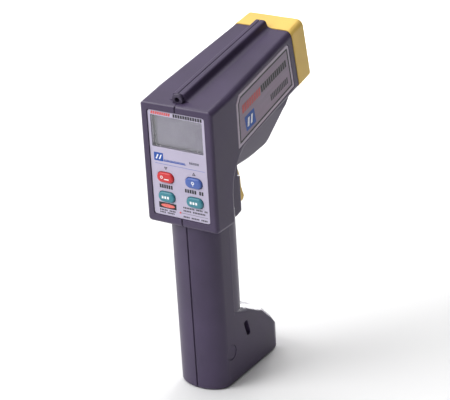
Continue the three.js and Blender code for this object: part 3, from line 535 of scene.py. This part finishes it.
def printed(name, outlines, surface, material, body, low=-PRINT_SINK, high=PRINT_THICK, rings=()):
    """Thin printed shapes. surface(u, v, height) gives a point, and rings are pairs of outlines, the
    outer and the inner one."""
    bm = bmesh.new()
    for outline in outlines:
        bottom = [bm.verts.new(surface(u, v, low)) for u, v in outline]
        top = [bm.verts.new(surface(u, v, high)) for u, v in outline]
        bm.faces.new(bottom[::-1])
        bm.faces.new(top)
        for i in range(len(outline)):
            j = (i + 1) % len(outline)
            bm.faces.new((bottom[i], bottom[j], top[j], top[i]))
    for outer, inner in rings:
        loops = [[bm.verts.new(surface(u, v, h)) for u, v in points] for points, h in (
            (outer, low), (outer, high), (inner, high), (inner, low))]
        for k in range(4):
            a, b = loops[k], loops[(k + 1) % 4]
            for i in range(len(outer)):
                j = (i + 1) % len(outer)
                bm.faces.new((a[i], a[j], b[j], b[i]))
    return mesh_object(name, bm, material, body)


def lathe(name, profile, centre, axis, material, body, sides=64):
    """A turned piece: profile is a closed list of (along, radius) about the axis through centre."""
    bm = bmesh.new()
    ahead = axis.normalized()
    side = ahead.orthogonal().normalized()
    up = ahead.cross(side)
    loops = []
    for i in range(sides):
        turn = 2 * math.pi * i / sides
        spoke = side * math.cos(turn) + up * math.sin(turn)
        loops.append([bm.verts.new(centre + ahead * along + spoke * radius) for along, radius in profile])
    for i in range(sides):
        a, b = loops[i], loops[(i + 1) % sides]
        for k in range(len(profile)):
            m = (k + 1) % len(profile)
            bm.faces.new((a[k], b[k], b[m], a[m]))
    bmesh.ops.remove_doubles(bm, verts=bm.verts, dist=WELD)
    bmesh.ops.dissolve_degenerate(bm, edges=bm.edges, dist=WELD)
    return mesh_object(name, bm, material, body, smooth=True)


# ---- print on the key panel ----------------------------------------------
panel_low, panel_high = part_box("keypad_panel")
panel_x = (panel_low.x + panel_high.x) / 2


def on_panel(u, down, height):
    """u to the right of the panel's middle and down from its top edge, both in mm."""
    return Vector((panel_x + u * MM, panel_low.y - height, panel_high.z - down * MM))


def panel_print(name, outlines, color, **extra):
    piece = printed(name, outlines, on_panel, ink(f"ink_{name}", color), "case", **extra)
    return piece


def key_place(name):
    """The middle of a key as (u, down) on the panel, in mm."""
    low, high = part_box(name)
    return ((low.x + high.x) / 2 - panel_x) / MM, (panel_high.z - (low.z + high.z) / 2) / MM


red_u, red_down = key_place("button_red")
blue_u, blue_down = key_place("button_blue")
teal_down = key_place("button_teal_left")[1]
window_low, window_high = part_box("lcd_window")
window_end = (panel_high.z - window_low.z) / MM
strip = (panel_high.z - window_high.z) / MM
plate_top = teal_down + 3.9
plate = (red_u - 6.2, red_u + 6.2, plate_top, plate_top + 3.7)

panel_print("print_title_red", marks(-17.2, -3.4, 0.55, strip - 1.0, 1.5, 0.72, slant=-0.25), INK_RED)
panel_print("print_title_dark", marks(-1.9, 18.6, 0.5, strip - 0.8, 1.7, 0.74), INK_BLACK)
block = (-17.3, -10.8, window_end + 3.9, window_end + 9.1)
panel_print("print_block", [rounded_rect(*block, 0.3)], INK_BLUE)
panel_print("print_block_mark", [
    [(block[0] + 1.0, block[3] - 1.1), (block[0] + 1.9, block[3] - 1.1), (block[0] + 3.3, block[2] + 1.2),
     (block[0] + 2.4, block[2] + 1.2)],
    [(block[0] + 3.3, block[3] - 1.1), (block[0] + 4.2, block[3] - 1.1), (block[0] + 5.6, block[2] + 1.2),
     (block[0] + 4.7, block[2] + 1.2)],
], INK_WHITE, low=PRINT_THICK / 2, high=2 * PRINT_THICK)
panel_print("print_block_line", [rounded_rect(block[1] + 0.15, 4.9, block[3] - 0.75, block[3] - 0.2)]
            + marks(block[1] + 0.6, 4.5, block[3] - 1.5, block[3] - 0.9, 1.0, 0.7), INK_BLUE)
panel_print("print_rule", [rounded_rect(-17.0, 18.2, block[3] + 1.5, block[3] + 1.78)], INK_RULE)
panel_print("print_type", marks(7.6, 14.6, block[3] - 2.9, block[3] - 1.5, 1.35, 0.7), INK_GREY)
down_mark = red_down - 5.9
up_mark = blue_down - 5.6
panel_print("print_arrows", [], INK_BLACK, rings=[
    ([(red_u + 0.5 + s * 1.25, down_mark + t) for s, t in ((-1, -0.8), (0, 1.1), (1, -0.8))],
     [(red_u + 0.5 + s * 0.55, down_mark + t) for s, t in ((-1, -0.45), (0, 0.35), (1, -0.45))]),
    ([(blue_u + 0.3 + s * 1.25, up_mark + t) for s, t in ((-1, 0.8), (1, 0.8), (0, -1.1))],
     [(blue_u + 0.3 + s * 0.55, up_mark + t) for s, t in ((-1, 0.45), (1, 0.45), (0, -0.35))]),
])
red_name = marks(red_u - 4.8, red_u + 4.8, red_down + 4.7, red_down + 7.1, 1.6, 0.74)
blue_name = marks(blue_u - 6.8, blue_u + 6.6, blue_down + 4.7, blue_down + 7.0, 1.6, 0.74, gaps=(5,))
panel_print("print_key_names", red_name + blue_name, INK_BLACK)
panel_print("print_plate", [rounded_rect(*plate, 0.2)], INK_BLACK)
panel_print("print_plate_oval", [ellipse(red_u + 0.2, (plate[2] + plate[3]) / 2, 4.9, 1.15)], INK_SALMON,
            low=PRINT_THICK / 2, high=2 * PRINT_THICK)
note_upper = marks(red_u - 5.8, red_u + 5.6, plate[3] + 0.75, plate[3] + 1.75, 1.1, 0.66, gaps=(5,))
note_lower = marks(red_u - 5.8, red_u + 4.8, plate[3] + 2.3, plate[3] + 3.2, 1.05, 0.66, gaps=(4,))
panel_print("print_plate_note", note_upper + note_lower, INK_BLACK)
note = plate_top + 0.25
panel_print("print_side_note", marks(1.2, 18.6, note, note + 1.0, 1.15, 0.66, gaps=(7, 12))
            + marks(1.2, 16.9, note + 2.0, note + 3.0, 1.15, 0.66, gaps=(5,))
            + marks(1.0, 18.2, note + 5.9, note + 6.9, 1.15, 0.66, gaps=(4, 10)), INK_BLACK)
panel_print("print_side_rule", [rounded_rect(-0.4, 18.3, note + 4.2, note + 4.42)], INK_GREY)
panel_print("print_dot", [ellipse(-1.1, note + 4.3, 0.62, 0.62, 16)], INK_RED, high=1.5 * PRINT_THICK)


# ---- printed foil labels on the sides ------------------------------------
def label_surface(node, side):
    """Maps (a, b), along the barrel and up from the label's lower rear corner in mm, onto its face."""
    points = [v.co for v in nodes[node].data.vertices]
    corner = min(points, key=lambda p: p.z)
    tree = BVHTree.FromObject(nodes[node], bpy.context.evaluated_depsgraph_get())
    cos, sin = math.cos(BARREL_TILT), math.sin(BARREL_TILT)
    clear = Vector((0.1 * side, 0, 0))

    def face_point(y, z):
        hit = tree.ray_cast(Vector((0, y, z)) + clear, Vector((-side, 0, 0)))
        return hit[0], hit[1]

    middle_y = (min(p.y for p in points) + max(p.y for p in points)) / 2
    middle_z = (min(p.z for p in points) + max(p.z for p in points)) / 2
    origin, normal = face_point(middle_y, middle_z)
    if normal.x * side < 0:
        normal = -normal

    def surface(a, b, height):
        y = corner.y + (a * cos - b * sin) * MM
        z = corner.z + (a * sin + b * cos) * MM
        x = origin.x - (normal.y * (y - origin.y) + normal.z * (z - origin.z)) / normal.x
        return Vector((x, y, z)) + normal * height

    return surface


def label_extent(node):
    """How long the label is along the barrel, and how tall across it, in mm."""
    cos, sin = math.cos(BARREL_TILT), math.sin(BARREL_TILT)
    points = [v.co for v in nodes[node].data.vertices]
    corner = min(points, key=lambda p: p.z)
    along = max((p.y - corner.y) * cos + (p.z - corner.z) * sin for p in points)
    up = max((p.z - corner.z) * cos - (p.y - corner.y) * sin for p in points)
    return along / MM, up / MM


def print_label(node, side, tag):
    surface = label_surface(node, side)
    long, tall = label_extent(node)
    outline = [(0.35, 0.3), (long - 0.25, 2.2), (long - 0.25, tall - 1.9), (long - 1.9, tall - 0.25),
               (9.9, tall - 0.25), (5.5, tall - 4.3)]
    rim_inner = inset_outline(outline, LABEL_RIM_WIDE)
    line_inner = inset_outline(outline, LABEL_RIM_WIDE + LABEL_LINE_WIDE)

    def on_label(name, outlines, color, **extra):
        paint = ink(f"ink_label_{tag}_{name}", color)
        piece = printed(f"label_{tag}_{name}", outlines, surface, paint, "case", **extra)

    rim = printed(f"label_{tag}_rim", [], surface, brushed_label(f"label_{tag}_silver", LABEL_RIM), "case",
                  rings=[(outline, rim_inner)])
    on_label("line", [], INK_BLACK, rings=[(rim_inner, line_inner)])
    on_label("word_red", marks(long - 61.6, long - 38.7, 18.2, 23.2, 3.0, 0.80, slant=0.22), INK_LABEL_RED)
    on_label("word_dark", marks(long - 37.6, long - 5.0, 18.8, 23.4, 2.6, 0.76), INK_BLACK)
    on_label("word_small", marks(long - 28.5, long - 6.0, 7.8, 12.0, 2.1, 0.70), INK_DARK)
    a0, a1, b0, b1 = long - 60.2, long - 48.6, 5.4, 14.9
    on_label("block", [rounded_rect(a0, a1, b0, b1, 0.35)], INK_BLUE)
    on_label("block_mark", [
        [(a0 + 1.6, b0 + 2.2), (a0 + 3.6, b0 + 2.2), (a0 + 5.6, b1 - 2.2), (a0 + 3.6, b1 - 2.2)],
        [(a0 + 5.5, b0 + 2.2), (a0 + 7.5, b0 + 2.2), (a0 + 9.5, b1 - 2.2), (a0 + 7.5, b1 - 2.2)],
    ], INK_WHITE, low=PRINT_THICK / 2, high=2 * PRINT_THICK)


print_label("side_label_right", 1, "right")
print_label("side_label_left", -1, "left")


# ---- soft keys -----------------------------------------------------------
def key_cap(node, name, color):
    """A silicone key: a flange under the panel, straight sides and a softly crowned top."""
    low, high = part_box(node)
    cx, cz = (low.x + high.x) / 2, (low.z + high.z) / 2
    half_x = (high.x - low.x) / 2 - KEY_FLANGE
    half_z = (high.z - low.z) / 2 - KEY_FLANGE
    top, back = low.y, high.y
    flange = back - 1.2 * MM
    rings = [(KEY_FLANGE, back), (KEY_FLANGE, flange), (0, flange), (0, top + KEY_EDGE)]
    for i in range(1, 7):
        turn = math.pi / 2 * i / 6
        rings.append((-KEY_EDGE * (1 - math.cos(turn)), top + KEY_EDGE * (1 - math.sin(turn)) + 0.12 * MM))
    rings.append((-KEY_EDGE - 0.7 * MM, top + 0.04 * MM))
    rings.append((-KEY_EDGE - 1.5 * MM, top + 0.01 * MM))
    bm = bmesh.new()
    loops = []
    for grow, y in rings:
        outline = rounded_rect(-half_x - grow, half_x + grow, -half_z - grow, half_z + grow, half_z + grow, 8)
        loops.append([bm.verts.new((cx + u, y, cz + v)) for u, v in outline])
    for a, b in zip(loops, loops[1:]):
        for i in range(len(a)):
            j = (i + 1) % len(a)
            bm.faces.new((a[i], a[j], b[j], b[i]))
    bm.faces.new(loops[0][::-1])
    bm.faces.new(loops[-1])
    silicone = moulded(f"silicone_{name}", color, rough=0.36, mottle=0.03, wear=0.1, edge=0.3 * MM)
    piece = mesh_object(name, bm, silicone, node, smooth=True)
    soften(piece)
    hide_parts(node)

    def surface(u, v, height):
        return Vector((cx + u * MM, top - height, cz + v * MM))

    return surface


KEYS = {
    "button_red": ("key_red", KEY_RED, "key_red"),
    "button_blue": ("key_blue", KEY_BLUE, "key_blue"),
    "button_teal_left": ("key_teal_left", KEY_TEAL, "key_teal"),
    "button_teal_right": ("key_teal_right", KEY_TEAL, "key_teal"),
}
KEY_MARKS = {
    "button_red": ([rounded_rect(-0.4, 3.0, -1.0, -0.35, 0.2)], [(ellipse(-2.0, 0.35, 0.95, 0.95, 20),
                                                                  ellipse(-2.0, 0.35, 0.5, 0.5, 20))]),
    "button_blue": ([rounded_rect(-0.3, 0.3, -1.35, -0.75, 0.1)], [(ellipse(0, 0.45, 1.05, 0.95, 20),
                                                                    ellipse(0, 0.45, 0.55, 0.45, 20))]),
    "button_teal_left": (marks(-2.9, 2.9, -0.8, 0.8, 1.9, 0.66), []),
    "button_teal_right": (marks(-2.9, 2.9, -0.8, 0.8, 1.9, 0.66), []),
}
for node, (name, color, slot_name) in KEYS.items():
    surface = key_cap(node, name, color)
    outlines, rings = KEY_MARKS[node]
    mark = printed(f"{name}_mark", outlines, surface, ink(f"ink_{name}_mark", INK_WHITE), node,
                   low=-4 * PRINT_SINK, high=-0.2 * PRINT_SINK, rings=rings)


# ---- lens and its ring ---------------------------------------------------
def barrel_frame():
    """The barrel's forward and upward directions."""
    ahead = Vector((0, math.cos(BARREL_TILT), math.sin(BARREL_TILT)))
    up = Vector((0, -math.sin(BARREL_TILT), math.cos(BARREL_TILT)))
    return ahead, up


ahead, barrel_up = barrel_frame()


def extent_along(node):
    """Lowest and highest distance along the barrel, the middle across it, and half the height there."""
    points = [v.co for v in nodes[node].data.vertices]
    reach = [p.dot(ahead) for p in points]
    heights = [p.dot(barrel_up) for p in points]
    middle = (min(heights) + max(heights)) / 2
    return min(reach), max(reach), barrel_up * middle, (max(heights) - min(heights)) / 2


rear, front, centre, lens_radius = extent_along("lens")
rim = rear + 2.0 * MM
profile = [(rear, 0), (rear, lens_radius), (rim, lens_radius), (rim, lens_radius - 1.2 * MM)]
for i in range(1, 11):
    turn = math.pi / 2 * i / 10
    profile.append((rim + (front - rim) * math.sin(turn), (lens_radius - 1.3 * MM) * math.cos(turn)))
lens_piece = lathe("lens_dome", profile, centre, ahead, lens_painted_sheen("lens_painted_sheen"), "case")
soften(lens_piece)
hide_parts("lens")

rear, front, centre, ring_outer = extent_along("lens_retainer")
ring_inner = lens_radius - 1.0 * MM
chamfer = 0.35 * MM
ring_piece = lathe("lens_ring", [
    (rear, ring_inner), (rear, ring_outer), (front - chamfer, ring_outer), (front, ring_outer - chamfer),
    (front, ring_outer - 2 * chamfer), (front - chamfer, ring_outer - 3 * chamfer),
    (front - 2 * chamfer, ring_inner + chamfer), (front - 3 * chamfer, ring_inner),
], centre, ahead, moulded("ring_black", BLACK, rough=0.38, wear=0.7), "case", sides=72)
soften(ring_piece)
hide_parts("lens_retainer")


# ---- lip behind the seam -------------------------------------------------
def seam_lip():
    """A thin strip inside the grip's rear wall, which keeps most light from passing through the seam."""
    case_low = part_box("left_housing")[0]
    bay_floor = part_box("battery")[0].z
    rear = case_low.y + LIP_BEHIND_FACE

    def surface(u, v, height):
        return Vector((u, rear + height, v))

    outline = rounded_rect(-LIP_HALF, LIP_HALF, case_low.z + LIP_LIFT, bay_floor - LIP_DROP)
    piece = printed("seam_lip", [outline], surface, body_plastic, "case", low=0, high=LIP_THICK)


seam_lip()


# ---- stage, light and camera ---------------------------------------------
def floor_material():
    g = Graph("floor_paint")
    cloud = g.noise(3, detail=2)
    base = g.mix(g.remap(cloud, 0.3, 0.7), (0.80, 0.80, 0.805, 1), (0.82, 0.82, 0.825, 1))
    return g.finish(base, 0.8)


bm = bmesh.new()
bmesh.ops.create_grid(bm, x_segments=2, y_segments=2, size=FLOOR_HALF)
floor_mesh = bpy.data.meshes.new("floor")
bm.to_mesh(floor_mesh)
bm.free()
floor = bpy.data.objects.new("floor", floor_mesh)
floor.data.materials.append(floor_material())
bpy.context.scene.collection.objects.link(floor)

scene = bpy.context.scene
scene.view_settings.view_transform = "Standard"
world = bpy.data.worlds.new("studio")
world.use_nodes = True
scene.world = world
background = world.node_tree.nodes["Background"]
sky_place = world.node_tree.nodes.new("ShaderNodeTexCoord")
sky_turn = world.node_tree.nodes.new("ShaderNodeVectorMath")
sky_turn.operation = "DOT_PRODUCT"
sky_turn.inputs[1].default_value = Vector(SOFT_SIDE).normalized()
sky_level = world.node_tree.nodes.new("ShaderNodeMapRange")
sky_level.inputs["From Min"].default_value = SKY_DIM_BELOW
sky_level.inputs["From Max"].default_value = SKY_BRIGHT_ABOVE
sky_level.inputs["To Min"].default_value = SKY_DIM
sky_level.inputs["To Max"].default_value = SKY_BRIGHT
world.node_tree.links.new(sky_place.outputs["Generated"], sky_turn.inputs[0])
world.node_tree.links.new(sky_turn.outputs["Value"], sky_level.inputs["Value"])
world.node_tree.links.new(sky_level.outputs["Result"], background.inputs["Strength"])
background.inputs["Color"].default_value = (1.0, 1.0, 1.0, 1)

low, high = cad_bounds
middle = (low + high) / 2


def area_light(name, place, size, power):
    light = bpy.data.lights.new(name, "AREA")
    light.shape = "DISK"
    light.size = size
    light.energy = power
    lamp = bpy.data.objects.new(name, light)
    lamp.location = middle + Vector(place)
    lamp.rotation_mode = "QUATERNION"
    lamp.rotation_quaternion = (middle - lamp.location).to_track_quat("-Z", "Y")
    scene.collection.objects.link(lamp)


for name, (place, size, power) in LIGHTS.items():
    area_light(name, place, size, power)

camera_data = bpy.data.cameras.new("camera")
camera_data.sensor_fit = "HORIZONTAL"
camera_data.sensor_width = CAMERA_SENSOR
camera_data.lens = CAMERA_LENS
camera_data.clip_start = 0.05
camera_data.clip_end = 20
camera = bpy.data.objects.new("camera", camera_data)
scene.collection.objects.link(camera)
view_x = Vector(CAMERA_RIGHT).normalized()
view_back = Vector(CAMERA_BACK).normalized()
view_y = view_back.cross(view_x).normalized()
view_x = view_y.cross(view_back).normalized()
camera_turn = Matrix((view_x, view_y, view_back)).transposed().to_4x4()
camera.matrix_world = Matrix.Translation(Vector(CAMERA_PLACE)) @ camera_turn
scene.camera = camera

# ---- the end -------------------------------------------------------------
bpy.context.view_layer.update()
